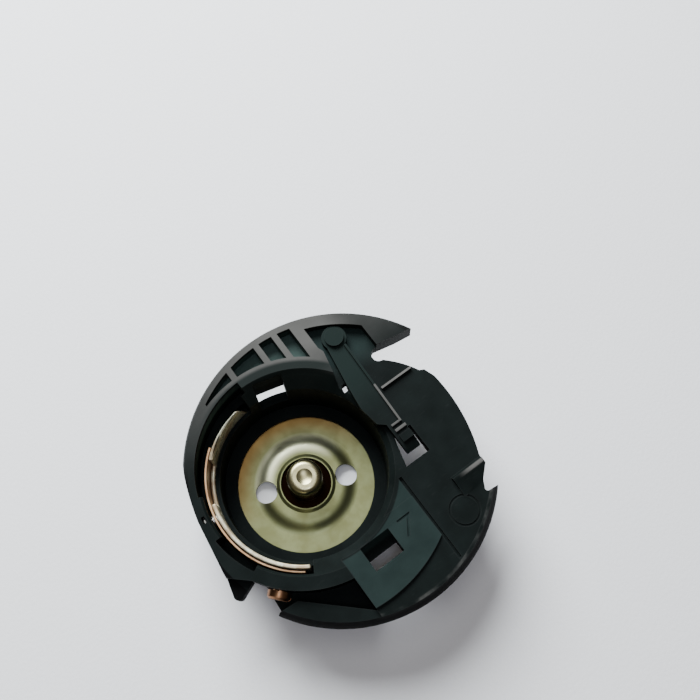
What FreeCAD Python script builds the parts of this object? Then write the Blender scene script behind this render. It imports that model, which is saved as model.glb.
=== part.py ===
import FreeCAD, Part
import math
import os
import re
import Sketcher

# Drop-in bobbin case, millimetres. The origin is on the bobbin's axis, on the plane the case rests on,
# +Z is the way the bobbin lifts out, and +Y runs along the latch arm from its finger to its pivot.

SIZES = {
    # Levels above the resting plane
    "rim_top": 12.8,
    "flange_top": 11.2,
    "flange_thickness": 2.0,
    # Race rim: a circle that stands off the bobbin's axis
    "rim_radius": 20.6,
    "rim_offset_x": 4.65,
    "rim_offset_y": -2.3,
    "rim_slope_width": 0.8,
    "rim_slope_drop": 1.2,
    "crest_inset": 0.3,
    "crest_drop": 0.7,
    "rim_bead_width": 0.4,
    "rim_bead_height": 0.25,
    "clear_radius": 31.0,
    # Cup for a bobbin 20.5 across and 11.6 high
    "pot_radius": 11.3,
    "pot_wall": 1.3,
    "cut_overlap": 0.3,
    "funnel_bottom": 10.4,
    "funnel_radius": 13.5,
    "ring_width": 1.6,
    # Horn, the bay under it and the open side of the flange
    "horn_angle": 26.6,
    "horn_root_y": 7.85,
    "horn_bend_x": 20.6,
    "horn_bend_y": 7.2,
    "horn_drop": 0.6,
    "bay_x": 17.5,
    "bay_y": 6.85,
    "bay_radius": 0.95,
    "bay_shoulder_bend": 14.0,
    "jog_x": 20.6,
    "jog_y": 1.8,
    "jog_step": 0.6,
    "side_radius": 24.2,
    "side_offset_x": -2.35,
    "side_offset_y": -2.3,
    "side_start_y": 0.0,
    # Needle notch, set in from the rim, and the ridge beside it
    "notch_top_inset": 1.96,
    "notch_top_angle": -36.16,
    "notch_waist_inset": 2.17,
    "notch_waist_angle": -42.69,
    "notch_floor_inset": 1.47,
    "notch_floor_angle": -45.53,
    "notch_radius": 0.45,
    "notch_tip_angle": -43.5,
    "notch_shoulder": 1.35,
    "ridge_start_x": 14.9,
    "ridge_crest_y": -12.5,
    "ridge_crest_width": 0.5,
    "ridge_height": 0.75,
    "ridge_rise": 0.35,
    "ridge_fall": 2.2,
    # Crescent: the high wall from the horn round to the screw
    "crest_angle": 144.4,
    "left_wall_radius": 14.7,
    "left_wall_angle": 171.0,
    "left_wall_bend": 35.0,
    "ring_end_angle": 31.0,
    "ring_end_x": 10.4,
    "ring_end_y": 6.0,
    "ring_return_x": 11.5,
    "ring_return_y": 11.2,
    "recess_left_x": 11.2,
    "recess_right_x": 17.8,
    "recess_wall": 1.8,
    # Stop lug beside the tension screw
    "lug_root_radius": 16.5,
    "lug_root_angle": 199.5,
    "lug_tip_radius": 17.35,
    "lug_tip_angle": 207.3,
    "lug_nose": 0.75,
    "lug_top": 11.5,
    "screw_notch_start_angle": 210.5,
    "screw_notch_end_angle": 216.0,
    # Hollows in the upper wall, each between two ribs along Y
    "hollow_wall": 1.1,
    "hollow_depth": 2.4,
    "hollow_first_x": -5.3,
    "hollow_first_width": 4.65,
    "hollow_second_width": 4.0,
    "hollow_third_width": 1.95,
    "hollow_fourth_width": 1.8,
    "hollow_rib": 0.85,
    # Thread ramp with its window, between the flange and the screw recess
    "ramp_left_x": -2.7,
    "ramp_right_x": 9.4,
    "ramp_reach": 19.6,
    "ramp_overrun": 2.0,
    "ramp_inner_lift": 0.3,
    "ramp_outer_lift": 0.85,
    "ramp_inner_y": -11.0,
    "band_lift": 0.4,
    "ramp_groove_width": 0.45,
    "ramp_groove_depth": 0.5,
    "ramp_groove_start_y": -8.2,
    "ramp_groove_end_y": -20.8,
    "window_left_x": 0.0,
    "window_right_x": 4.4,
    "window_near_y": -11.5,
    "window_far_y": -15.9,
    "window_slant": 2.9,
    # Recess in front of the tension screw
    "screw_wall_radius": 15.2,
    "screw_recess_floor": 7.0,
    "screw_recess_skin": 1.2,
    "screw_recess_side_x": -12.6,
    "screw_recess_lip_y": -12.7,
    "crease_x": -10.0,
    "crease_y": -12.9,
    "crease_end_y": -19.7,
    "recess_floor_lap": 0.5,
    # Slot in the cup's wall and the gap beside the arm
    "slot_angle": 76.0,
    "slot_width": 4.0,
    "slot_outer_radius": 13.0,
    "slot_bottom": 5.5,
    "slot_back_bottom": 7.0,
    "slot_back_angle": 62.0,
    "gap_x": 10.95,
    "gap_y": 5.75,
    "gap_width": 0.8,
    "gap_length": 1.1,
    "gap_lean": 0.25,
    "gap_depth": 3.2,
    # Window round the arm's finger, and the cross rib
    "finger_window_left_x": 11.2,
    "finger_window_right_x": 15.0,
    "finger_window_top_y": -3.4,
    "finger_window_bottom_y": -7.6,
    "finger_window_lean": 1.1,
    "finger_window_depth": 3.0,
    "cross_rib_x": 14.9,
    "cross_rib_y": 2.75,
    "cross_rib_length": 4.9,
    "cross_rib_width": 0.3,
    "cross_rib_height": 0.5,
    # Moulded marks
    "mark_depth": 0.15,
    "ring_mark_x": 13.8,
    "ring_mark_y": -16.5,
    "ring_mark_radius": 2.1,
    "ring_mark_line": 0.3,
    "arrow_x": 7.9,
    "arrow_y": -12.4,
    "arrow_length": 2.6,
    "arrow_head": 2.1,
    "arrow_lean": 1.8,
    "arrow_line": 0.35,
    # Steel base disc, snapped under a ledge by moulded claws
    "disc_radius": 10.0,
    "disc_thickness": 0.6,
    "disc_bottom": 0.35,
    "disc_clearance": 0.1,
    "disc_slack": 0.05,
    "disc_step_radius": 7.3,
    "disc_plateau_radius": 5.0,
    "disc_rise": 0.55,
    "disc_hole_radius": 3.55,
    "disc_collar_width": 0.6,
    "disc_collar_height": 0.25,
    "jig_hole_radius": 1.55,
    "jig_hole_circle": 5.7,
    "jig_hole_angle": -23.7,
    "ledge_radius": 9.6,
    "ledge_thickness": 0.7,
    "claw_reach": 0.55,
    "claw_half_angle": 9.0,
    # Stud that centres the bobbin
    "stud_radius": 2.45,
    "stud_top": 7.0,
    "stud_edge": 0.9,
    "stud_foot_radius": 4.3,
    "stud_dimple_radius": 1.1,
    "stud_dimple_depth": 0.22,
    # Thread plate and tension leaf, bent to the cup
    "plate_inner_radius": 11.9,
    "plate_thickness": 0.55,
    "plate_bottom": 4.8,
    "plate_top": 11.2,
    "plate_start_angle": 95.5,
    "plate_end_angle": 239.0,
    "plate_tip_length": 2.6,
    "plate_taper_angle": 133.0,
    "plate_tip_width": 0.15,
    "plate_notch_start_angle": 137.0,
    "plate_notch_end_angle": 164.0,
    "plate_notch_depth": 3.4,
    "thread_gap": 0.15,
    "leaf_thickness": 0.3,
    "leaf_bottom": 5.8,
    "leaf_top": 10.7,
    "leaf_start_angle": 129.0,
    "leaf_end_angle": 236.0,
    "leaf_room": 0.3,
    "slot_ease": 0.1,
    "slot_over_angle": 1.8,
    "front_wall_top": 7.6,
    "channel_radius": 14.0,
    "channel_width": 1.6,
    "channel_offset": 0.5,
    "channel_floor": 7.4,
    "channel_start_angle": 93.0,
    "channel_boss_start_angle": 162.0,
    "tip_pocket_radius": 14.1,
    "tip_pocket_start_angle": 184.0,
    "tip_pocket_end_angle": 209.5,
    "spring_housing_radius": 15.1,
    "housing_radius": 14.3,
    "housing_start_angle": 89.0,
    "housing_bottom": 3.8,
    "housing_end_angle": 262.0,
    # Screws, both on lines through the bobbin's axis
    "tension_angle": 223.0,
    "tension_level": 8.8,
    "tension_shank_radius": 0.9,
    "tension_head_radius": 1.55,
    "tension_head_height": 1.1,
    "tension_slot_width": 0.5,
    "screw_point_edge": 0.15,
    "tension_tip_gap": 0.2,
    "tension_head_gap": 0.1,
    "anchor_angle": 171.5,
    "anchor_level": 8.8,
    "anchor_shank_radius": 0.75,
    "anchor_head_radius": 1.2,
    "anchor_head_height": 0.5,
    "anchor_seat_radius": 13.7,
    "anchor_view_width": 0.9,
    "screw_ease": 0.05,
    "leaf_ease": 0.25,
    # Latch arm and its pivot pin
    "pivot_x": 13.8,
    "eye_clearance": 0.123,
    "pin_radius": 0.8,
    "pin_head_radius": 1.3,
    "pin_head_height": 0.4,
    "pin_press": 0.02,
    "pin_ease": 0.05,
    "arm_gap": 0.15,
    "arm_thickness": 1.1,
    "arm_eye_radius": 1.7,
    "arm_eye_side": 1.5,
    "arm_right_x": 14.2,
    "arm_right_lean": 0.35,
    "arm_shoulder_x": 11.3,
    "arm_shoulder_y": 5.6,
    "arm_waist_x": 10.85,
    "arm_waist_y": 1.9,
    "arm_heel_x": 11.3,
    "arm_heel_y": -1.0,
    "arm_heel_drop": 0.8,
    "arm_rib_width": 0.3,
    "arm_rib_height": 0.4,
    "arm_rib_end_y": -2.5,
    "finger_left_x": 12.25,
    "finger_right_x": 14.35,
    "finger_tip_y": -6.4,
    "finger_rib_height": 0.35,
    "finger_rib_inset": 0.4,
    "finger_rib_y": -3.4,
    "finger_rib_width": 0.4,
    "finger_pad_y": -5.0,
    "finger_pad_width": 1.1,
    "finger_tip_drop": 0.7,
}

doc = FreeCAD.newDocument("bobbin_case")
sheet = doc.addObject("Spreadsheet::Sheet", "sizes")
for row, (size_name, number) in enumerate(SIZES.items(), start=1):
    sheet.set("A%d" % row, size_name)
    sheet.set("B%d" % row, str(number))
    sheet.setAlias("B%d" % row, size_name)
doc.recompute()

ORIGIN = ("0", "0")
RIM = ("rim_offset_x", "rim_offset_y")
CHANNEL = ("channel_offset", "channel_offset")
EYE_CIRCLE = "rim_radius - recess_wall - arm_eye_radius - eye_clearance"
PIVOT_Y = "rim_offset_y + sqrt((%s)^2 - (pivot_x - rim_offset_x)^2)" % EYE_CIRCLE
PIVOT = ("pivot_x", PIVOT_Y)
FLANGE_BOTTOM = "flange_top - flange_thickness"
RACE_INNER = "rim_radius - rim_slope_width"
PLATE_OUTER = "plate_inner_radius + plate_thickness"
LEAF_INNER = "plate_inner_radius + plate_thickness + thread_gap"
LEAF_OUTER = LEAF_INNER + " + leaf_thickness"
SLOT_OUTER = LEAF_OUTER + " + leaf_room"
CUP_INSIDE = "pot_radius - cut_overlap"
ARM_BOTTOM = "flange_top + arm_gap"
ARM_TOP = ARM_BOTTOM + " + arm_thickness"
DISC_PLATEAU = "disc_bottom + disc_rise"
DISC_SEAT = "disc_bottom + disc_thickness + disc_slack"


def formula(text):
    """A sum of size names as the sheet's own expression."""
    return re.sub(r"\b[a-z]+(?:_[a-z]+)+\b", r"sizes.\g<0>", text)


def value(text):
    return float(sheet.evalExpression(formula(text)))


def polar(radius, angle, centre=ORIGIN):
    """A point at a radius and an angle in degrees about a centre."""
    return tuple("%s + (%s) * %s(%s)" % (middle, radius, turning, angle)
                 for middle, turning in zip(centre, ("cos", "sin")))


def on_circle(x, radius, centre=ORIGIN, side="+"):
    """The point of a circle at x, on its far (+) or near (-) side."""
    return x, "%s %s sqrt((%s)^2 - (%s - (%s))^2)" % (centre[1], side, radius, x, centre[0])


def along(angle, out, across):
    """A point some way out along a line from the bobbin's axis, and some way across it."""
    return ("(%s) * cos(%s) - (%s) * sin(%s)" % (out, angle, across, angle),
            "(%s) * sin(%s) + (%s) * cos(%s)" % (out, angle, across, angle))


def left(point, radius):
    """The point, reached by an arc that turns left."""
    return (*point, radius, 1)


def right(point, radius):
    """The point, reached by an arc that turns right."""
    return (*point, radius, -1)


def circle(radius, centre=ORIGIN):
    return [(*centre, radius)]


def box(left_x, right_x, low_y, high_y):
    return [(left_x, low_y), (right_x, low_y), (right_x, high_y), (left_x, high_y)]


def sector(inner, outer, start, end, centre=ORIGIN):
    return [polar(outer, start, centre), left(polar(outer, end, centre), outer),
            polar(inner, end, centre), right(polar(inner, start, centre), inner)]


def slot_along(angle, start, end, width):
    """A straight slot along a line from the bobbin's axis."""
    low = "-(%s) / 2" % width
    high = "(%s) / 2" % width
    return [along(angle, start, low), along(angle, end, low),
            along(angle, end, high), along(angle, start, high)]


def vector(point):
    return FreeCAD.Vector(value(point[0]), value(point[1]), 0)


def bind(sketch, constraint, text):
    index = sketch.addConstraint(constraint)
    sketch.setExpression("Constraints[%d]" % index, formula(text))


def pin_point(sketch, edge, end, point):
    for kind, text in zip(("DistanceX", "DistanceY"), point):
        bind(sketch, Sketcher.Constraint(kind, -1, 1, edge, end, value(text)), text)


def draw_circle(sketch, x, y, radius):
    middle = vector((x, y))
    edge = sketch.addGeometry(Part.Circle(middle, FreeCAD.Vector(0, 0, 1), value(radius)))
    pin_point(sketch, edge, 3, (x, y))
    bind(sketch, Sketcher.Constraint("Radius", edge, value(radius)), radius)


def arc_between(start, end, radius, turning):
    """The shorter arc from start to end, turning left (1) or right (-1)."""
    half = (end - start) * 0.5
    rise = math.sqrt(max(radius ** 2 - half.Length ** 2, 0.0))
    aside = FreeCAD.Vector(-half.y, half.x, 0).normalize()
    middle = start + half + aside * rise * turning
    first, last = (start, end) if turning > 0 else (end, start)
    angles = [math.atan2(point.y - middle.y, point.x - middle.x) for point in (first, last)]
    return Part.ArcOfCircle(Part.Circle(middle, FreeCAD.Vector(0, 0, 1), radius), *angles)


def draw_outline(sketch, corners):
    """A closed run of lines and arcs, every corner and radius bound to the sheet."""
    points = [vector(corner) for corner in corners]
    edges = []
    for index, corner in enumerate(corners):
        start, end = points[index - 1], points[index]
        ends = (1, 2)
        if len(corner) == 4:
            ends = (1, 2) if corner[3] > 0 else (2, 1)
            shape = arc_between(start, end, value(corner[2]), corner[3])
        else:
            shape = Part.LineSegment(start, end)
        edges.append((sketch.addGeometry(shape), *ends))
    for index, (edge, first, last) in enumerate(edges):
        before = edges[index - 1]
        sketch.addConstraint(Sketcher.Constraint("Coincident", before[0], before[2], edge, first))
        pin_point(sketch, edge, last, corners[index])
        if len(corners[index]) == 4:
            radius = corners[index][2]
            bind(sketch, Sketcher.Constraint("Radius", edge, value(radius)), radius)


def new_sketch(body, name, level, outlines, plane="XY_Plane", middle=None):
    """A sketch on one of the body's own planes; middle moves its axes to another centre."""
    sketch = body.newObject("Sketcher::SketchObject", name + "_outline")
    support = next(item for item in body.Origin.OriginFeatures if item.Role == plane)
    sketch.AttachmentSupport = [(support, "")]
    sketch.MapMode = "FlatFace"
    sketch.setExpression("AttachmentOffset.Base.z", formula(level))
    if middle:
        sketch.setExpression("AttachmentOffset.Base.x", formula(middle))
    for corners in outlines:
        if len(corners) == 1:
            draw_circle(sketch, *corners[0])
        else:
            draw_outline(sketch, corners)
    return sketch


def new_body(label):
    body = doc.addObject("PartDesign::Body", label)
    body.Label = label
    return body


def pad(body, name, bottom, top, *outlines, plane="XY_Plane"):
    """Add the outlines as solid from one level to another."""
    feature = body.newObject("PartDesign::Pad", name)
    feature.Profile = new_sketch(body, name, bottom, outlines, plane)
    feature.setExpression("Length", formula("%s - (%s)" % (top, bottom)))
    body.Tip = feature
    return feature


def pocket(body, name, top, bottom, *outlines, plane="XY_Plane"):
    """Cut the outlines away from one level down to another."""
    feature = body.newObject("PartDesign::Pocket", name)
    feature.Profile = new_sketch(body, name, top, outlines, plane)
    feature.setExpression("Length", formula("%s - (%s)" % (top, bottom)))
    body.Tip = feature
    return feature


def turn(body, kind, name, corners, level="0", middle=None):
    """Turn a profile, drawn as radius and height, into a Revolution or a Groove."""
    feature = body.newObject("PartDesign::" + kind, name)
    sketch = new_sketch(body, name, level, [corners], "XZ_Plane", middle)
    feature.Profile = sketch
    feature.ReferenceAxis = (sketch, ["V_Axis"])
    feature.Angle = 360
    body.Tip = feature
    return feature


def radial_hole(body, name, angle, level, steps):
    """Bore a stepped hole along a line from the bobbin's axis; steps are (from, to, radius)."""
    corners = [along(angle, steps[0][0], "0")]
    for start, end, radius in steps:
        corners += [along(angle, start, radius), along(angle, end, radius)]
    corners.append(along(angle, steps[-1][1], "0"))
    feature = body.newObject("PartDesign::Groove", name)
    sketch = new_sketch(body, name, level, [corners])
    axis = sketch.addGeometry(Part.LineSegment(vector(corners[0]), vector(corners[-1])), True)
    pin_point(sketch, axis, 1, corners[0])
    pin_point(sketch, axis, 2, corners[-1])
    feature.Profile = sketch
    feature.ReferenceAxis = (sketch, ["Axis0"])
    feature.Angle = 360
    body.Tip = feature
    return feature


def face_outward(body, angle, out, level):
    """Stand a piece turned about its own Z on a line from the bobbin's axis, Z outward."""
    place = FreeCAD.Vector(*(value(text) for text in along(angle, out, "0")), value(level))
    body.Placement = FreeCAD.Placement(place, FreeCAD.Rotation(value(angle), 90, 0))


def build_ramp(case):
    """The sloped floor that leads the thread out, and the band between it and the rim."""
    far = "-(ramp_reach + ramp_overrun)"
    slope = "(ramp_outer_lift - ramp_inner_lift) / (ramp_reach + ramp_inner_y)"
    far_lift = "ramp_outer_lift + %s * ramp_overrun" % slope
    pad(case, "ramp", "ramp_left_x", "ramp_right_x",
        [(far, FLANGE_BOTTOM), ("ramp_inner_y", FLANGE_BOTTOM),
         ("ramp_inner_y", "flange_top + ramp_inner_lift"), (far, "flange_top + " + far_lift)],
        plane="YZ_Plane")
    pocket(case, "ramp_edge", "rim_top", "0", circle("ramp_reach"), circle("clear_radius"))
    pad(case, "band", FLANGE_BOTTOM, "flange_top + band_lift",
        [("ramp_right_x", "ramp_inner_y"), ("ramp_left_x", "ramp_inner_y"),
         on_circle("ramp_left_x", RACE_INNER, RIM, "-"),
         left(on_circle("ramp_right_x", RACE_INNER, RIM, "-"), RACE_INNER)])


def notch_point(part):
    """The top, waist or floor of the needle notch, set in from the rim."""
    return polar("rim_radius - notch_%s_inset" % part, "notch_%s_angle" % part, RIM)


def build_flange(case):
    """The round flange with its sloped race edge, bead, ridge and cross rib."""
    pad(case, "flange", FLANGE_BOTTOM, "flange_top", circle("rim_radius", RIM))
    low = "flange_top - rim_slope_drop"
    turn(case, "Groove", "race_slope",
         [("rim_radius", low), ("clear_radius", low), ("clear_radius", "rim_top"),
          (RACE_INNER, "rim_top"), (RACE_INNER, "flange_top")], "-(rim_offset_y)", "rim_offset_x")
    bead_inner = RACE_INNER + " - rim_bead_width"
    pad(case, "bead", FLANGE_BOTTOM, "flange_top + rim_bead_height",
        [on_circle("ramp_right_x", RACE_INNER, RIM, "-"),
         left(polar(RACE_INNER, "notch_tip_angle", RIM), RACE_INNER),
         polar(bead_inner, "notch_tip_angle", RIM),
         right(on_circle("ramp_right_x", bead_inner, RIM, "-"), bead_inner)])
    crest = "flange_top + ridge_height"
    fall_end = "ridge_crest_y - ridge_crest_width - ridge_fall"
    pad(case, "ridge", "ridge_start_x", notch_point("top")[0],
        [("ridge_crest_y + ridge_rise", FLANGE_BOTTOM), ("ridge_crest_y + ridge_rise", "flange_top"),
         ("ridge_crest_y", crest), ("ridge_crest_y - ridge_crest_width", crest),
         (fall_end, "flange_top"), (fall_end, FLANGE_BOTTOM)], plane="YZ_Plane")
    pad(case, "cross_rib", FLANGE_BOTTOM, "flange_top + cross_rib_height",
        box("cross_rib_x", "cross_rib_x + cross_rib_length", "cross_rib_y - cross_rib_width / 2",
            "cross_rib_y + cross_rib_width / 2"))


def left_wall():
    """Corners of the wall's left side, from the rim down to the stop lug."""
    return [left(polar("left_wall_radius", "left_wall_angle"), "left_wall_bend"),
            polar("lug_root_radius", "lug_root_angle")]


def lug_nose():
    """The two ends of the arc at the stop lug's tip."""
    x, y = polar("lug_tip_radius", "lug_tip_angle")
    return (x + " - lug_nose", y), (x, y + " - lug_nose")


def build_crescent(case):
    """The high wall from the horn round the back to the tension screw, and the stop lug."""
    recess = "rim_radius - recess_wall"
    notch_start = polar("screw_wall_radius", "screw_notch_start_angle")
    pad(case, "crescent", FLANGE_BOTTOM, "rim_top",
        [polar("rim_radius", "horn_angle", RIM),
         left(polar("rim_radius", "90", RIM), "rim_radius"),
         left(polar("rim_radius", "crest_angle", RIM), "rim_radius"),
         *left_wall(), notch_start,
         left(on_circle("ramp_left_x", "screw_wall_radius", side="-"), "screw_wall_radius"),
         on_circle("ramp_left_x", CUP_INSIDE, side="-"),
         right(polar(CUP_INSIDE, "180"), CUP_INSIDE),
         right(polar(CUP_INSIDE, "90"), CUP_INSIDE),
         right(polar(CUP_INSIDE, "ring_end_angle"), CUP_INSIDE),
         ("ring_end_x", "ring_end_y"), ("ring_return_x", "ring_return_y"),
         ("recess_left_x", "ring_return_y + ring_width / 2"),
         on_circle("recess_left_x", recess, RIM),
         right(on_circle("recess_right_x", recess, RIM), recess),
         ("recess_right_x", "bay_y")])
    inset = "rim_radius - crest_inset"
    turn(case, "Groove", "crest_slope",
         [("rim_radius", "rim_top - crest_drop"), ("clear_radius", "rim_top - crest_drop"),
          ("clear_radius", "rim_top + crest_drop"), (inset, "rim_top + crest_drop"), (inset, "rim_top")],
         "-(rim_offset_y)", "rim_offset_x")
    nose_start, nose_end = lug_nose()
    pad(case, "stop_lug", FLANGE_BOTTOM, "lug_top",
        [polar("pot_radius", "lug_root_angle"), polar("lug_root_radius", "lug_root_angle"), nose_start,
         left(nose_end, "lug_nose"), notch_start, polar("pot_radius", "screw_notch_start_angle")])


def build_cup(case):
    """The cup's wall, the housing of the spring pieces and the floor of the screw recess."""
    pad(case, "cup", "0", "flange_top", circle("pot_radius + pot_wall"))
    pad(case, "spring_housing", "housing_bottom", FLANGE_BOTTOM,
        sector("pot_radius", "spring_housing_radius", "housing_start_angle", "anchor_angle"))
    pad(case, "slot_back", "slot_back_bottom", FLANGE_BOTTOM,
        sector("pot_radius", "spring_housing_radius", "slot_back_angle", "housing_start_angle"))
    pad(case, "screw_housing", "housing_bottom", FLANGE_BOTTOM,
        sector("pot_radius", "housing_radius", "anchor_angle", "housing_end_angle"))
    inner = "housing_radius - pot_wall / 2"
    pad(case, "recess_floor", "screw_recess_floor - screw_recess_skin", FLANGE_BOTTOM,
        [polar(inner, "screw_notch_end_angle"), left(polar(inner, "housing_end_angle"), inner),
         ("ramp_left_x + recess_floor_lap", "crease_end_y - recess_floor_lap"),
         ("crease_x - recess_floor_lap", "crease_y - recess_floor_lap"),
         ("screw_recess_side_x", "screw_recess_lip_y - recess_floor_lap"),
         polar("screw_wall_radius", "screw_notch_end_angle")])
    ledge_top = DISC_SEAT + " + ledge_thickness"
    turn(case, "Groove", "cup_bore",
         [("0", "-(pot_wall)"), ("disc_radius + disc_clearance", "-(pot_wall)"),
          ("disc_radius + disc_clearance", DISC_SEAT), ("ledge_radius", DISC_SEAT),
          ("ledge_radius", ledge_top), ("pot_radius", ledge_top), ("pot_radius", "funnel_bottom"),
          ("funnel_radius", "rim_top"), ("funnel_radius", "rim_top + pot_wall"),
          ("0", "rim_top + pot_wall")])


def trim_rim(case):
    """Open the rim: bay, open side, needle notch, left side and the notch at the screw."""
    side = "side_offset_x + sqrt(side_radius^2 - (%s - side_offset_y)^2)"
    side_end_y = notch_point("top")[1] + " + notch_shoulder"
    floor = notch_point("floor")
    pocket(case, "open_side", "rim_top", "0",
           [("rim_offset_x + rim_radius", "horn_bend_y - horn_drop"), ("horn_bend_x", "horn_bend_y"),
            ("bay_x", "horn_root_y"),
            left(("bay_x - bay_radius", "bay_y"), "bay_radius"),
            left(("bay_x", "bay_y - bay_radius"), "bay_radius"),
            right(("jog_x", "jog_y"), "bay_shoulder_bend"), ("jog_x + jog_step", "jog_y - jog_step / 2"),
            (side % "side_start_y", "side_start_y"),
            right((side % side_end_y, side_end_y), "side_radius"),
            notch_point("top"), notch_point("waist"),
            (floor[0] + " - notch_radius", floor[1]),
            left((floor[0], floor[1] + " - notch_radius"), "notch_radius"),
            polar("rim_radius", "notch_tip_angle", RIM),
            polar("clear_radius", "notch_tip_angle", RIM), ("clear_radius", "rim_offset_y")])
    crest = polar("rim_radius", "crest_angle", RIM)
    pocket(case, "left_side", "rim_top", "0",
           [crest, *left_wall(), ("-(clear_radius)", polar("lug_root_radius", "lug_root_angle")[1]),
            ("-(clear_radius)", crest[1])])
    notch_end = polar("screw_wall_radius", "screw_notch_end_angle")
    recess_corner = ("screw_recess_side_x", "screw_recess_lip_y")
    pocket(case, "screw_notch", "lug_top", "0",
           [polar("screw_wall_radius", "screw_notch_start_angle"), left(notch_end, "screw_wall_radius"),
            recess_corner, polar("clear_radius", "screw_notch_end_angle"),
            polar("clear_radius", "screw_notch_start_angle"), lug_nose()[1]])
    pocket(case, "screw_recess", "rim_top", "screw_recess_floor",
           [notch_end,
            left(on_circle("ramp_left_x", "screw_wall_radius", side="-"), "screw_wall_radius"),
            ("ramp_left_x", "crease_end_y"), ("crease_x", "crease_y"), recess_corner])


def cut_hollows(case):
    """Four open hollows between the ribs of the upper wall."""
    outer = "rim_radius - hollow_wall"
    inner = "funnel_radius + ring_width"
    start = "hollow_first_x"
    outlines = []
    for order in ("first", "second", "third", "fourth"):
        end = "%s + hollow_%s_width" % (start, order)
        outlines.append([on_circle(start, inner), right(on_circle(end, inner), inner),
                         on_circle(end, outer, RIM), left(on_circle(start, outer, RIM), outer)])
        start = end + " + hollow_rib"
    pocket(case, "hollows", "rim_top", "rim_top - hollow_depth", *outlines)


def cut_windows(case):
    """Openings through the case: thread window, cup slot, gap by the arm, finger window."""
    under = FLANGE_BOTTOM + " - flange_thickness"
    pocket(case, "thread_window", "window_right_x", "window_left_x",
           [("window_near_y", "rim_top"), ("window_near_y - window_slant", FLANGE_BOTTOM),
            ("window_near_y - window_slant", under), ("window_far_y", under),
            ("window_far_y", "rim_top")], plane="YZ_Plane")
    pocket(case, "cup_slot", "rim_top", "slot_bottom",
           slot_along("slot_angle", CUP_INSIDE, "slot_outer_radius", "slot_width"))
    low = "gap_y - gap_length / 2"
    high = "gap_y + gap_length / 2"
    pocket(case, "arm_gap_hole", "flange_top", "flange_top - gap_depth",
           [("gap_x - gap_width / 2", low), ("gap_x + gap_width / 2", low),
            ("gap_x + gap_width / 2 + gap_lean", high), ("gap_x - gap_width / 2 + gap_lean", high)])
    pocket(case, "finger_window", "flange_top", "flange_top - finger_window_depth",
           [("finger_window_left_x", "finger_window_bottom_y"),
            ("finger_window_right_x", "finger_window_bottom_y"),
            ("finger_window_right_x", "finger_window_top_y"),
            ("finger_window_left_x + finger_window_lean", "finger_window_top_y")])
    pocket(case, "pivot_hole", "flange_top", FLANGE_BOTTOM, circle("pin_radius + pin_press", PIVOT))


def cut_spring_slots(case):
    """The slot for the thread plate and the leaf, the channel behind them and the screw holes."""
    start = "plate_start_angle - slot_over_angle"
    end = "plate_end_angle + slot_over_angle"
    pocket(case, "spring_slot", "rim_top", "plate_bottom",
           sector("plate_inner_radius - slot_ease", SLOT_OUTER, start, end))
    pocket(case, "front_cut", "rim_top", "front_wall_top",
           sector(CUP_INSIDE, "plate_inner_radius", start, end))
    pocket(case, "channel", "rim_top", "channel_floor",
           sector("channel_radius - channel_width", "channel_radius", "channel_start_angle",
                  "channel_boss_start_angle", CHANNEL))
    pocket(case, "tip_pocket", "rim_top", "channel_floor",
           sector(LEAF_OUTER, "tip_pocket_radius", "tip_pocket_start_angle", "tip_pocket_end_angle"))
    radial_hole(case, "tension_hole", "tension_angle", "tension_level",
                [(LEAF_OUTER, "screw_wall_radius + pot_wall", "tension_shank_radius + screw_ease")])
    radial_hole(case, "anchor_hole", "anchor_angle", "anchor_level",
                [(LEAF_OUTER, "anchor_seat_radius", "anchor_shank_radius + screw_ease"),
                 ("anchor_seat_radius", "lug_root_radius", "anchor_head_radius + screw_ease * 2")])
    pocket(case, "anchor_view", "rim_top", "anchor_level",
           slot_along("anchor_angle", "anchor_seat_radius", "anchor_seat_radius + anchor_head_height",
                      "anchor_view_width"))


def cut_marks(case):
    """A groove beside the ramp, a plain ring on the flange and a plain arrow head on the ramp."""
    pocket(case, "ramp_groove", "flange_top", "flange_top - ramp_groove_depth",
           box("ramp_right_x", "ramp_right_x + ramp_groove_width", "ramp_groove_end_y",
               "ramp_groove_start_y"))
    ring_middle = ("ring_mark_x", "ring_mark_y")
    pocket(case, "ring_mark", "flange_top", "flange_top - mark_depth",
           circle("ring_mark_radius", ring_middle),
           circle("ring_mark_radius - ring_mark_line", ring_middle))
    pocket(case, "arrow_mark", "rim_top", "flange_top + ramp_inner_lift - mark_depth / 2",
           [("arrow_x", "arrow_y"), ("arrow_x - arrow_head", "arrow_y"),
            ("arrow_x - arrow_head", "arrow_y - arrow_line"),
            ("arrow_x - arrow_line * 2", "arrow_y - arrow_line"),
            ("arrow_x - arrow_lean - arrow_line", "arrow_y - arrow_length + arrow_line / 2"),
            ("arrow_x - arrow_lean", "arrow_y - arrow_length")])


def add_claws(case):
    """Three moulded claws that hold the base disc up against its ledge."""
    outer = "disc_radius + disc_clearance + pot_wall / 2"
    claw = pad(case, "claw", "0", "disc_bottom - disc_slack",
               sector("disc_radius - claw_reach", outer, "-(claw_half_angle)", "claw_half_angle"))
    ring = case.newObject("PartDesign::PolarPattern", "claws")
    ring.Originals = [claw]
    ring.Axis = (claw.Profile[0], ["N_Axis"])
    ring.Occurrences = 3
    ring.Angle = 360
    case.Tip = ring


def build_case():
    case = new_body("case_body")
    build_ramp(case)
    build_flange(case)
    build_crescent(case)
    build_cup(case)
    trim_rim(case)
    cut_hollows(case)
    cut_windows(case)
    cut_spring_slots(case)
    cut_marks(case)
    add_claws(case)
    return case


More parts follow.
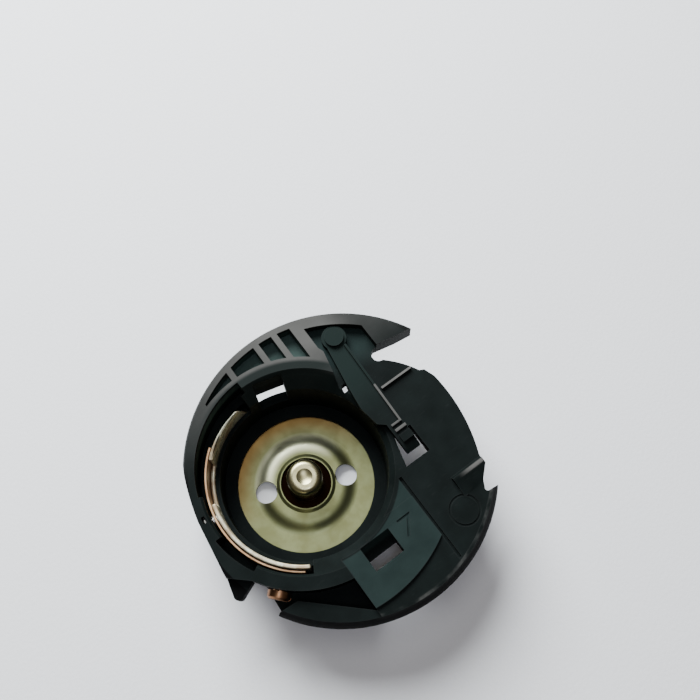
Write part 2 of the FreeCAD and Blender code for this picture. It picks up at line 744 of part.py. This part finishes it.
def build_disc():
    """Pressed steel disc: flat edge, raised middle, rolled collar and two jig holes."""
    disc = new_body("base_disc")
    top = "disc_bottom + disc_thickness"
    raised = DISC_PLATEAU + " + disc_thickness"
    collar = "disc_hole_radius + disc_collar_width"
    halfway = "(disc_plateau_radius + disc_step_radius) / 2"
    bend = "((disc_step_radius - disc_plateau_radius)^2 + disc_rise^2) / (disc_rise * 4)"
    turn(disc, "Revolution", "pressing",
         [("disc_hole_radius", DISC_PLATEAU), ("disc_plateau_radius", DISC_PLATEAU),
          right((halfway, "disc_bottom + disc_rise / 2"), bend),
          left(("disc_step_radius", "disc_bottom"), bend), ("disc_radius", "disc_bottom"),
          ("disc_radius", top), ("disc_step_radius", top), right((halfway, top + " + disc_rise / 2"), bend),
          left(("disc_plateau_radius", raised), bend), (collar, raised),
          ("disc_hole_radius + disc_collar_width / 4", raised + " + disc_collar_height"),
          ("disc_hole_radius", raised + " + disc_collar_height")])
    pocket(disc, "jig_holes", "rim_top", "0",
           circle("jig_hole_radius", polar("jig_hole_circle", "jig_hole_angle")),
           circle("jig_hole_radius", polar("jig_hole_circle", "jig_hole_angle + 180")))
    return disc


def build_stud():
    """Turned stud with a foot under the disc and a domed, dimpled head."""
    stud = new_body("centre_stud")
    dimple = "(stud_dimple_radius^2 + stud_dimple_depth^2) / (stud_dimple_depth * 2)"
    turn(stud, "Revolution", "turning",
         [("0", "0"), ("stud_foot_radius", "0"), ("stud_foot_radius", DISC_PLATEAU),
          ("stud_radius", DISC_PLATEAU), ("stud_radius", "stud_top - stud_edge"),
          left(("stud_radius - stud_edge", "stud_top"), "stud_edge"),
          ("stud_dimple_radius", "stud_top"), right(("0", "stud_top - stud_dimple_depth"), dimple)])
    return stud


def build_plate():
    """Thread plate: a bent strip with a pointed end and a notch where the leaf shows."""
    plate = new_body("thread_plate")
    pad(plate, "strip", "plate_bottom", "plate_top",
        sector("plate_inner_radius", PLATE_OUTER, "plate_start_angle", "plate_end_angle"))
    inside = "plate_inner_radius - plate_thickness"
    outside = PLATE_OUTER + " + plate_thickness"
    pocket(plate, "notch", "plate_top", "plate_top - plate_notch_depth",
           sector(inside, outside, "plate_notch_start_angle", "plate_notch_end_angle"))
    pocket(plate, "end_taper", "plate_top", "plate_bottom",
           [polar(PLATE_OUTER, "plate_taper_angle"),
            right(polar("plate_inner_radius + plate_tip_width", "plate_start_angle"), PLATE_OUTER),
            polar(outside, "plate_start_angle"), left(polar(outside, "plate_taper_angle"), outside)])
    tip_x = polar(PLATE_OUTER, "plate_start_angle")[0]
    pocket(plate, "tip_slope", "0", "-(plate_inner_radius * 2)",
           [("-(plate_tip_length)", "plate_top"), ("plate_tip_length", "plate_top"),
            ("plate_tip_length", "plate_bottom"), (tip_x, "front_wall_top")], plane="XZ_Plane")
    radial_hole(plate, "anchor_thread", "anchor_angle", "anchor_level",
                [(inside, outside, "anchor_shank_radius + pin_press")])
    return plate


def build_leaf():
    """Tension leaf: the spring strip behind the thread plate, held by the anchor screw."""
    leaf = new_body("tension_leaf")
    pad(leaf, "strip", "leaf_bottom", "leaf_top",
        sector(LEAF_INNER, LEAF_OUTER, "leaf_start_angle", "leaf_end_angle"))
    radial_hole(leaf, "anchor_clearance", "anchor_angle", "anchor_level",
                [("plate_inner_radius", SLOT_OUTER, "anchor_shank_radius + leaf_ease")])
    return leaf


def build_screw(label, shank_radius, shank_length, head_radius, head_height):
    """A slotted screw turned about Z, head outward, its seat at the origin."""
    screw = new_body(label)
    edge = head_height + " / 4"
    point = "-(%s)" % shank_length
    turn(screw, "Revolution", "turning",
         [("0", point), (shank_radius + " - screw_point_edge", point),
          (shank_radius, point + " + screw_point_edge"), (shank_radius, "0"),
          (head_radius, "0"), (head_radius, "%s - %s" % (head_height, edge)),
          ("%s - %s" % (head_radius, edge), head_height), ("0", head_height)])
    half = "tension_slot_width / 2"
    pocket(screw, "driver_slot", head_height, head_height + " / 2",
           box("-(%s)" % half, half, "-(%s)" % head_radius, head_radius))
    return screw


def build_tension_screw():
    seat = "screw_wall_radius + tension_head_gap"
    length = seat + " - (" + LEAF_OUTER + ") - tension_tip_gap"
    screw = build_screw("tension_screw", "tension_shank_radius", length, "tension_head_radius",
                        "tension_head_height")
    face_outward(screw, "tension_angle", seat, "tension_level")
    return screw


def build_anchor_screw():
    length = "anchor_seat_radius - plate_inner_radius"
    screw = build_screw("anchor_screw", "anchor_shank_radius", length, "anchor_head_radius",
                        "anchor_head_height")
    face_outward(screw, "anchor_angle", "anchor_seat_radius", "anchor_level")
    return screw


def build_arm():
    """Latch arm: an eye on the pivot pin, a bar along the flange and a ribbed finger."""
    arm = new_body("latch_arm")
    bar_end = ("arm_right_x + arm_right_lean", PIVOT_Y + " - arm_eye_radius")
    pad(arm, "bar", ARM_BOTTOM, ARM_TOP,
        [("finger_left_x", "finger_tip_y"), ("finger_right_x", "finger_tip_y"),
         ("finger_right_x", "arm_rib_end_y"), ("arm_right_x", "arm_rib_end_y"), bar_end, PIVOT,
         ("pivot_x - arm_eye_side", PIVOT_Y), ("arm_shoulder_x", "arm_shoulder_y"),
         ("arm_waist_x", "arm_waist_y"), ("arm_heel_x", "arm_heel_y"),
         ("finger_left_x", "arm_heel_y - arm_heel_drop")])
    pad(arm, "eye", ARM_BOTTOM, ARM_TOP, circle("arm_eye_radius", PIVOT))
    pocket(arm, "eye_hole", ARM_TOP, ARM_BOTTOM, circle("pin_radius + pin_ease", PIVOT))
    pad(arm, "edge_rib", ARM_TOP, ARM_TOP + " + arm_rib_height",
        [("arm_right_x - arm_rib_width", "arm_rib_end_y"), ("arm_right_x", "arm_rib_end_y"), bar_end,
         (bar_end[0] + " - arm_rib_width", bar_end[1])])
    spans = (("arm_rib_end_y", "arm_rib_width"), ("finger_rib_y", "finger_rib_width"),
             ("finger_pad_y", "finger_pad_width"))
    for order, (low, width) in zip(("first", "second", "third"), spans):
        right_x = "arm_right_x - arm_rib_width / 2" if order == "first" else "finger_right_x"
        pad(arm, order + "_finger_rib", ARM_TOP, ARM_TOP + " + finger_rib_height",
            box("finger_left_x + finger_rib_inset", right_x, low, low + " + " + width))
    pocket(arm, "tip_slope", "finger_right_x", "finger_left_x",
           [("finger_pad_y", ARM_TOP), ("finger_tip_y", ARM_TOP + " - finger_tip_drop"),
            ("finger_tip_y", ARM_TOP)], plane="YZ_Plane")
    return arm


def build_pin():
    """Pivot pin: pressed into the flange, with a head over the arm's eye."""
    pin = new_body("pivot_pin")
    seat = "arm_gap * 2 + arm_thickness"
    turn(pin, "Revolution", "turning",
         [("0", "-(flange_thickness)"), ("pin_radius", "-(flange_thickness)"), ("pin_radius", seat),
          ("pin_head_radius", seat), ("pin_head_radius", seat + " + pin_head_height"),
          ("0", seat + " + pin_head_height")])
    for axis, text in zip("xyz", (*PIVOT, "flange_top")):
        pin.setExpression("Placement.Base." + axis, formula(text))
    return pin


def check_solids(parts):
    """Stop if any object failed, a cut or a pad changed nothing, or a piece isn't one sound solid."""
    doc.recompute()
    for item in doc.Objects:
        if {"Invalid", "Error"} & set(item.State):
            raise RuntimeError("%s failed: %s" % (item.Name, item.State))
    for part in parts:
        before = 0.0
        for feature in part.Group:
            if feature.isDerivedFrom("PartDesign::Feature"):
                grows = feature.TypeId.split("::")[1] in ("Pad", "Revolution", "PolarPattern")
                change = feature.Shape.Volume - before
                if change == 0 or grows != (change > 0):
                    raise RuntimeError("%s in %s changes %.4f" % (feature.Name, part.Label, change))
                before = feature.Shape.Volume
        if part.Shape.isNull() or not part.Shape.isValid() or len(part.Shape.Solids) != 1:
            raise RuntimeError("%s isn't one sound solid" % part.Label)


pieces = [build_case(), build_disc(), build_stud(), build_plate(), build_leaf(), build_tension_screw(),
          build_anchor_screw(), build_arm(), build_pin()]
check_solids(pieces)
os.makedirs("parts", exist_ok=True)
for piece in pieces:
    piece.Shape.exportStep("parts/%s.step" % piece.Label)
    print("%-14s %9.2f mm3" % (piece.Label, piece.Shape.Volume))
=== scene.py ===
import math

import bpy
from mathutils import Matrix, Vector

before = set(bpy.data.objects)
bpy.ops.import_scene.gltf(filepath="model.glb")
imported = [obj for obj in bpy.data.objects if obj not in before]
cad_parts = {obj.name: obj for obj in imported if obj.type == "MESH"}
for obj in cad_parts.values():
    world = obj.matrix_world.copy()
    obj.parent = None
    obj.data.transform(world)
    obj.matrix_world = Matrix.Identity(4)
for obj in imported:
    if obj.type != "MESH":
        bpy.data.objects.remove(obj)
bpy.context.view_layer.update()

MM = 0.001

# Camera, fitted to the photograph: turn about Z, height above the horizon, place in millimetres and lens
VIEW_TURN = -36.5
VIEW_HEIGHT = 72.2
VIEW_PLACE = (-7.45, -20.40, 127.55)
NEAREST = 0.01
SENSOR = 36.0
FOCAL_PIXELS, PICTURE_PIXELS = 900, 700
LENS = SENSOR * FOCAL_PIXELS / PICTURE_PIXELS

# Places on the case, in millimetres
RIM_MIDDLE = (4.65, -2.3)
RIM_TOP, FLANGE_TOP, ARM_TOP = 12.8, 11.2, 12.45
BEAD_INNER, BEAD_OUTER, BEAD_END_Y = 19.4, 19.8, -11.0
RAMP_LEFT, RAMP_RIGHT, RAMP_START, RAMP_REACH = -2.7, 9.4, -8.0, 19.6
CUP_OUTER, RING_EDGE = 12.6, 14.6
HOLLOW_FLOOR, HOLLOW_OUTER, HOLLOW_LAST_X = 10.4, 19.6, 10.0
BACK_START, BACK_END = 6.0, 10.0
CREST_START, CREST_END = 5.0, 14.0
CROSS_RIB_X, CROSS_RIB_Y = 14.85, 2.75
RIDGE_X, RIDGE_Y = 15.6, -12.75
ARM_RIBS_START, ARM_RIBS_END = -3.6, 3.5
DISC_SHOWN, STUD_RADIUS, STUD_TOP = 9.6, 2.45, 7.0
STEP_START, STEP_MIDDLE, STEP_END = 0.5 * DISC_SHOWN, 0.6 * DISC_SHOWN, 0.72 * DISC_SHOWN

# Rounding of the edges of the moulded and bent pieces, in millimetres and degrees
EDGE_WIDTHS = {"case_body": 0.12, "latch_arm": 0.1, "thread_plate": 0.2, "tension_leaf": 0.1}
BENT_STRIPS = ("thread_plate", "tension_leaf")
EDGE_STEPS = 3
EDGE_ANGLE = 35
FLAT_ANGLE = 0.5
WELD_REACH = 0.001
NORMAL_WEIGHT = 60

# Paper and lights, in metres and watts: place, aim, size, power and tint of each light
PAPER_HALF = 0.9
PAPER_DROP = 0.02 * MM
LIGHTS = {
    "window": ((0.05, 0.235, 0.215), (0, 0, 0.01), 0.22, 3.6, (0.95, 0.99, 1.03)),
    "lamp": ((0.026, 0.071, 0.444), (0, 0, 0), 0.16, 0.22, (0.98, 0.99, 1.0)),
    "fill": ((-0.026, -0.071, 0.444), (0, 0, 0), 0.12, 0.38, (0.9, 0.94, 1.1)),
}
ROOM_TINT = (1.0, 0.86, 0.72, 1)
ROOM_STRENGTH = 0.13


class Wire:
    """A shader socket that takes part in Python sums; each sum adds a Math node."""

    def __init__(self, finish, socket):
        self.finish = finish
        self.socket = socket

    def sum(self, operation, *values):
        return self.finish.add("Math", {"operation": operation}, dict(enumerate(values)))

    def __add__(self, other):
        return self.sum("ADD", self, other)

    def __radd__(self, other):
        return self.sum("ADD", other, self)

    def __sub__(self, other):
        return self.sum("SUBTRACT", self, other)

    def __rsub__(self, other):
        return self.sum("SUBTRACT", other, self)

    def __mul__(self, other):
        return self.sum("MULTIPLY", self, other)

    def __rmul__(self, other):
        return self.sum("MULTIPLY", other, self)

    def __pow__(self, other):
        return self.sum("POWER", self, other)


class Finish:
    """A procedural material, grown node by node round one Principled shader."""

    def __init__(self, name, **constants):
        self.material = bpy.data.materials.new(name)
        self.material.use_nodes = True
        self.tree = self.material.node_tree
        self.shader = self.tree.nodes["Principled BSDF"]
        for socket, value in constants.items():
            self.shader.inputs[self.spelled(socket)].default_value = value

    @staticmethod
    def spelled(socket):
        """A keyword such as base_color as the shader spells it."""
        return socket.replace("_", " ").title().replace("Ior", "IOR")

    def add(self, kind, settings=None, sockets=None, output=0):
        """One node of any kind: its settings first, then the values or links of its sockets."""
        node = self.tree.nodes.new("ShaderNode" + kind)
        for name, value in (settings or {}).items():
            setattr(node, name, value)
        for key, value in (sockets or {}).items():
            if isinstance(value, Wire):
                self.tree.links.new(value.socket, node.inputs[key])
            else:
                node.inputs[key].default_value = value
        return Wire(self, node.outputs[output])

    def feed(self, **wires):
        """Link each wire to the shader's socket of that name."""
        for socket, wire in wires.items():
            self.tree.links.new(wire.socket, self.shader.inputs[self.spelled(socket)])

    def place(self):
        """X, Y and Z of the surface in the part's frame, in millimetres."""
        point = self.add("TexCoord", output="Object")
        split = self.add("SeparateXYZ", sockets={0: point}).socket.node
        return [Wire(self, output) * (1 / MM) for output in split.outputs]

    def noise(self, size, detail=2.0, stretch=(1, 1, 1)):
        """Cloudy noise from 0 to 1, with clouds of about that size in millimetres."""
        point = self.add("TexCoord", output="Object")
        spread = self.add("VectorMath", {"operation": "MULTIPLY"}, {0: point, 1: stretch})
        return self.add("TexNoise", sockets={"Vector": spread, "Scale": 1 / (size * MM), "Detail": detail})

    def ease(self, wire, low, high):
        """0 on low's side, 1 on high's side, and a smooth way between them."""
        return self.add("MapRange", {"interpolation_type": "SMOOTHSTEP"},
                        {"Value": wire, "From Min": low, "From Max": high})

    def within(self, wire, low, high, soft=0.1):
        """1 between low and high, 0 outside them, with soft borders."""
        return self.ease(wire, low - soft, low + soft) * (1 - self.ease(wire, high - soft, high + soft))

    def largest(self, wire, *others):
        """The largest of several shares."""
        for other in others:
            wire = wire.sum("MAXIMUM", wire, other)
        return wire

    def blend(self, share, first, second):
        """The first colour where the share is 0 and the second where it is 1; they are sockets 6 and 7."""
        return self.add("Mix", {"data_type": "RGBA"}, {0: share, 6: first, 7: second}, output=2)

    def edges(self, width):
        """1 on outer and inner edges, 0 on open faces."""
        soft = self.add("Bevel", {"samples": 4}, {"Radius": width * MM})
        hard = self.add("NewGeometry", output="Normal")
        match = self.add("VectorMath", {"operation": "DOT_PRODUCT"}, {0: soft, 1: hard}, output="Value")
        return self.ease(1 - match, 0.0, 0.12)

    def bump(self, height, depth):
        """A normal from a height of 0 to 1 that stands for that depth in millimetres."""
        return self.add("Bump", sockets={"Strength": 1.0, "Distance": depth * MM, "Height": height})


def distance(x, y, middle=(0.0, 0.0)):
    """How far a point of the surface is from an upright axis."""
    across, along = x - middle[0], y - middle[1]
    return (across * across + along * along) ** 0.5


def colour(red, green, blue):
    """A colour from screen values of 0 to 255."""
    return (*((part / 255) ** 2.2 for part in (red, green, blue)), 1.0)


# The third colour is painted shade for the outer race slope.
BLACK, SOFT_BLACK, PAINTED_SHADE_RACE_BLACK = colour(14, 17, 16), colour(27, 32, 31), colour(8, 9, 9)
# Painted light: lighter, greener tones for the ramp, the hollow floors and the floors between the ribs.
PAINTED_LIGHT_GREEN, PAINTED_LIGHT_PALE_GREEN, PAINTED_LIGHT_HOLLOW_GREEN = colour(26, 35, 34), colour(40, 50, 48), colour(62, 76, 72)
# The first colour is painted light on the ring slope; the second is the arm's own greener tone.
PAINTED_LIGHT_SLOPE_GREY, ARM_GREEN = colour(36, 41, 39), colour(28, 36, 34)
# The first colour is partly edge wear and partly painted highlight along the edges.
# The second colour is painted highlight with some wear, for crests and rib tops.
WORN_EDGE_AND_HIGHLIGHT, WEAR_AND_HIGHLIGHT = colour(56, 57, 56), colour(94, 93, 90)
# Painted light on the disc: brown painted shade at the back edge, then the step's painted highlight and
# painted shade.
PAINTED_BACK_SHADE, PAINTED_STEP_HIGHLIGHT, PAINTED_STEP_SHADE = colour(116, 86, 48), colour(222, 224, 188), colour(84, 88, 58)
# Painted shade for the gap round the stud's foot.
PAINTED_FOOT_SHADE = colour(18, 12, 8)
PAPER, PAPER_FIBRE = colour(226, 227, 228), colour(232, 232, 232)


def black_plastic(name, zones):
    """Black moulding: fine grain, slow clouds, faint scuffs and paler edges that are partly wear and
    partly painted highlight; zones paints light, shade and wear onto parts of it.
    """
    finish = Finish(name, specular_ior_level=0.035)
    clouds = finish.noise(3.0, 4.0)
    grain = finish.noise(0.12, 3.0)
    scuffs = finish.ease(finish.noise(1.4, 3.0, (1, 6, 1)), 0.6, 0.8)
    edges = finish.edges(0.15)
    base = finish.blend(clouds, BLACK, SOFT_BLACK)
    base, wear_and_highlight = zones(finish, base, clouds, *finish.place())
    # Paler edges: partly wear, partly painted highlight along the arrises.
    wear_and_edge_highlight = finish.blend(edges * (0.1 + clouds * 0.3) + scuffs * 0.12, base, WORN_EDGE_AND_HIGHLIGHT)
    # The zones' pale tops are painted highlight with some wear.
    finish.feed(base_color=finish.blend(wear_and_highlight * (0.7 + clouds * 0.6), wear_and_edge_highlight, WEAR_AND_HIGHLIGHT),
                roughness=0.5 + grain * 0.14 - wear_and_highlight * 0.12 + scuffs * 0.08,
                normal=finish.bump(grain, 0.012))
    return finish.material


def case_zones(finish, base, clouds, x, y, z):
    """Ramp, hollows and ring slope painted lighter as painted light, the outer race slope painted near
    black as painted shade, and crest, rib, ridge and bead painted pale as painted highlight with some
    wear.
    """
    from_axis = distance(x, y)
    from_rim = distance(x, y, RIM_MIDDLE)
    ramp = (finish.within(x, RAMP_LEFT, RAMP_RIGHT) * finish.within(from_axis, CUP_OUTER, RAMP_REACH)
            * finish.ease(RAMP_START - y, -0.5, 0.5) * finish.ease(z, FLANGE_TOP - 0.8, FLANGE_TOP - 0.2))
    back = finish.ease(y, BACK_START, BACK_END)
    hollows = (back * finish.within(z, HOLLOW_FLOOR - 0.3, FLANGE_TOP + 0.9, 0.2)
               * finish.ease(HOLLOW_OUTER - from_rim, -0.1, 0.1)
               * finish.ease(from_axis, CUP_OUTER, RING_EDGE))
    # Painted light: the ring slope at the back is painted a lighter grey.
    slope = (back * finish.ease(RING_EDGE - from_axis, -0.3, 0.3) * finish.ease(x, -10.0, -2.0)
             * finish.ease(z, HOLLOW_FLOOR - 0.5, HOLLOW_FLOOR))
    # Painted light: the ramp and the hollow floors are painted lighter and greener, as if lit.
    painted_tone = finish.blend(clouds, PAINTED_LIGHT_GREEN, PAINTED_LIGHT_PALE_GREEN)
    base = finish.blend(finish.largest(ramp * 0.9, hollows), base, painted_tone)
    base = finish.blend(slope * 0.6, base, PAINTED_LIGHT_SLOPE_GREY)
    # Painted light: the shaded floors between the ribs are painted much lighter, as if lit.
    between_ribs = hollows * finish.ease(x, HOLLOW_LAST_X + 1.0, HOLLOW_LAST_X - 1.0)
    base = finish.blend(between_ribs, base, PAINTED_LIGHT_HOLLOW_GREEN)
    # Painted shade: the outer race slope, facing away from the light, is painted near black.
    race = finish.ease(from_rim, BEAD_OUTER, BEAD_OUTER + 0.1) * (1 - back)
    base = finish.blend(race, base, PAINTED_SHADE_RACE_BLACK)
    # Painted highlight with some wear: the crest, stronger toward the horn, the cross rib, the ridge and
    # the bead are painted pale where they catch the light.
    crest = (finish.ease(z, RIM_TOP - 0.5, RIM_TOP - 0.05) * finish.ease(y, CREST_START, CREST_END)
             * (1 - slope))
    toward_horn = finish.ease(x, -14.0, 9.0) * (1 - 0.7 * finish.ease(x, 13.0, 18.0))
    cross_rib = (finish.within(y, CROSS_RIB_Y - 0.2, CROSS_RIB_Y + 0.2, 0.05)
                 * finish.ease(x, CROSS_RIB_X, CROSS_RIB_X + 0.1))
    ridge = finish.within(y, RIDGE_Y - 0.25, RIDGE_Y + 0.25) * finish.ease(x, RIDGE_X, RIDGE_X + 2.5)
    tops = finish.largest(cross_rib, ridge) * finish.ease(z, FLANGE_TOP + 0.3, FLANGE_TOP + 0.45)
    bead = (finish.within(from_rim, BEAD_INNER, BEAD_OUTER) * finish.ease(clouds, 0.4, 0.7)
            * (1 - finish.ease(y, BEAD_END_Y - 2.0, BEAD_END_Y))
            * finish.ease(z, FLANGE_TOP + 0.1, FLANGE_TOP + 0.2))
    return base, crest * (0.08 + 0.55 * toward_horn) + tops * 0.85 + bead * 0.35


def arm_zones(finish, base, clouds, x, y, z):
    """Rib tops painted pale from the finger to the arm's middle, a painted highlight with some wear, and a
    greener tone toward the pivot.
    """
    ribs = (finish.ease(z, ARM_TOP + 0.15, ARM_TOP + 0.3)
            * finish.within(y, ARM_RIBS_START, ARM_RIBS_END, 0.1))
    return finish.blend(finish.ease(y, -2.0, 8.0), base, ARM_GREEN), ribs * 0.6


def bare_metal(name, pale, dark, roughness, spread, tint=None, metallic=1.0):
    """Metal with fine turning rings round the bobbin's axis and clouds of tone and dullness."""
    finish = Finish(name, metallic=metallic)
    x, y, z = finish.place()
    clouds = finish.ease(finish.noise(2.0, 4.0), 0.3, 0.7)
    turning = distance(x, y) * 9 + z * 2
    rings = finish.add("TexNoise", {"noise_dimensions": "1D"}, {"W": turning, "Scale": 1.0})
    tone = finish.blend(clouds, colour(*pale), colour(*dark))
    if tint:
        tone = tint(finish, tone, x, y, z)
    finish.feed(base_color=tone, roughness=roughness + rings * 0.06 + clouds * spread,
                normal=finish.bump(rings, 0.003))
    return finish.material


def disc_tint(finish, tone, x, y, z):
    """Brown painted shade toward the disc's back edge, under the cup wall, and a painted highlight on the
    step behind with painted shade on it in front.
    """
    out = distance(x, y)
    # Painted shade: the back edge of the disc, shaded by the cup wall, is painted brown.
    back_shade = finish.ease(out, STEP_END, DISC_SHOWN) * finish.ease(y, -2.0, 8.0)
    # Painted highlight on the step's back side and painted shade on its front side.
    step_highlight = finish.within(out, STEP_START, STEP_END, 0.6) * finish.ease(y, 0.0, 5.0)
    painted_tone = finish.within(out, STEP_START, STEP_MIDDLE, 0.5) * finish.ease(y, 1.0, -4.0)
    tone = finish.blend(back_shade * 0.8, tone, PAINTED_BACK_SHADE)
    tone = finish.blend(step_highlight * 0.8, tone, PAINTED_STEP_HIGHLIGHT)
    return finish.blend(painted_tone * 0.15, tone, PAINTED_STEP_SHADE)


def stud_tint(finish, tone, x, y, z):
    """Painted shade up the stud's side and over its foot, in the gap round the stud."""
    # Painted shade: darker low on the stud's side and over its foot.
    foot_shade = (finish.ease(distance(x, y), 0.92 * STUD_RADIUS, STUD_RADIUS)
           * (1 - finish.ease(z, 0.3 * STUD_TOP, 0.95 * STUD_TOP)))
    return finish.blend(foot_shade, tone, PAINTED_FOOT_SHADE)


FINISHES = {
    "case_body": black_plastic("moulding", case_zones),
    "latch_arm": black_plastic("arm", arm_zones),
    "pivot_pin": black_plastic("pin", arm_zones),
    "base_disc": bare_metal("disc", (113, 117, 84), (104, 106, 73), 0.34, 0.06, disc_tint),
    "centre_stud": bare_metal("stud", (172, 168, 134), (146, 140, 104), 0.2, 0.08, stud_tint),
    "thread_plate": bare_metal("strip", (234, 236, 208), (160, 138, 108), 0.16, 0.2, metallic=0.4),
    "tension_leaf": bare_metal("leaf", (206, 170, 130), (172, 132, 96), 0.26, 0.2, metallic=0.4),
    "tension_screw": bare_metal("tension_screw", (160, 124, 92), (120, 82, 58), 0.3, 0.12),
    "anchor_screw": bare_metal("anchor_screw", (196, 194, 186), (160, 156, 148), 0.3, 0.1),
}


def dress(node):
    """Give a CAD piece its finish, and round the edges of the moulded and bent ones with modifiers."""
    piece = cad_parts[node]
    piece.material_slots[0].material = FINISHES[node]
    if node not in EDGE_WIDTHS:
        return
    weld = piece.modifiers.new("weld", "WELD")
    weld.merge_threshold = WELD_REACH * MM
    flat = piece.modifiers.new("flat", "DECIMATE")
    flat.decimate_type = "DISSOLVE"
    flat.angle_limit = math.radians(FLAT_ANGLE)
    bevel = piece.modifiers.new("edges", "BEVEL")
    bevel.width = EDGE_WIDTHS[node] * MM
    bevel.segments = EDGE_STEPS
    bevel.limit_method = "ANGLE"
    bevel.angle_limit = math.radians(EDGE_ANGLE)
    bevel.use_clamp_overlap = node not in BENT_STRIPS
    normals = piece.modifiers.new("normals", "WEIGHTED_NORMAL")
    normals.weight = NORMAL_WEIGHT


def build_floor():
    """A large sheet of white paper under the case."""
    mesh = bpy.data.meshes.new("paper")
    low, high = -PAPER_HALF, PAPER_HALF
    mesh.from_pydata([(low, low, 0), (high, low, 0), (high, high, 0), (low, high, 0)], [], [(0, 1, 2, 3)])
    floor = bpy.data.objects.new("paper", mesh)
    floor.location.z = -PAPER_DROP
    bpy.context.scene.collection.objects.link(floor)
    finish = Finish("paper", specular_ior_level=0.2)
    fibres = finish.noise(0.5, 5.0)
    finish.feed(base_color=finish.blend(fibres, PAPER, PAPER_FIBRE),
                roughness=0.85 + fibres * 0.1, normal=finish.bump(fibres, 0.03))
    mesh.materials.append(finish.material)


def build_light(name, place, aim, size, power, tint):
    """A round area light that faces a point of the part."""
    data = bpy.data.lights.new(name, "AREA")
    data.shape = "DISK"
    data.size = size
    data.energy = power
    data.color = tint
    light = bpy.data.objects.new(name, data)
    light.location = place
    light.rotation_euler = (Vector(aim) - Vector(place)).to_track_quat("-Z", "Y").to_euler()
    bpy.context.scene.collection.objects.link(light)


def build_room():
    """A dim, warm room round the paper."""
    world = bpy.data.worlds.new("room")
    world.use_nodes = True
    room = world.node_tree.nodes["Background"]
    room.inputs["Color"].default_value = ROOM_TINT
    room.inputs["Strength"].default_value = ROOM_STRENGTH
    bpy.context.scene.world = world


def build_camera():
    """The photograph's camera."""
    data = bpy.data.cameras.new("camera")
    data.sensor_width = SENSOR
    data.lens = LENS
    data.clip_start = NEAREST
    camera = bpy.data.objects.new("camera", data)
    camera.location = Vector(VIEW_PLACE) * MM
    camera.rotation_euler = (math.radians(90 - VIEW_HEIGHT), 0, math.radians(VIEW_TURN))
    bpy.context.scene.collection.objects.link(camera)
    bpy.context.scene.camera = camera


for node_name in FINISHES:
    dress(node_name)
build_floor()
for light_name, light_settings in LIGHTS.items():
    build_light(light_name, *light_settings)
build_room()
build_camera()

bpy.context.view_layer.update()
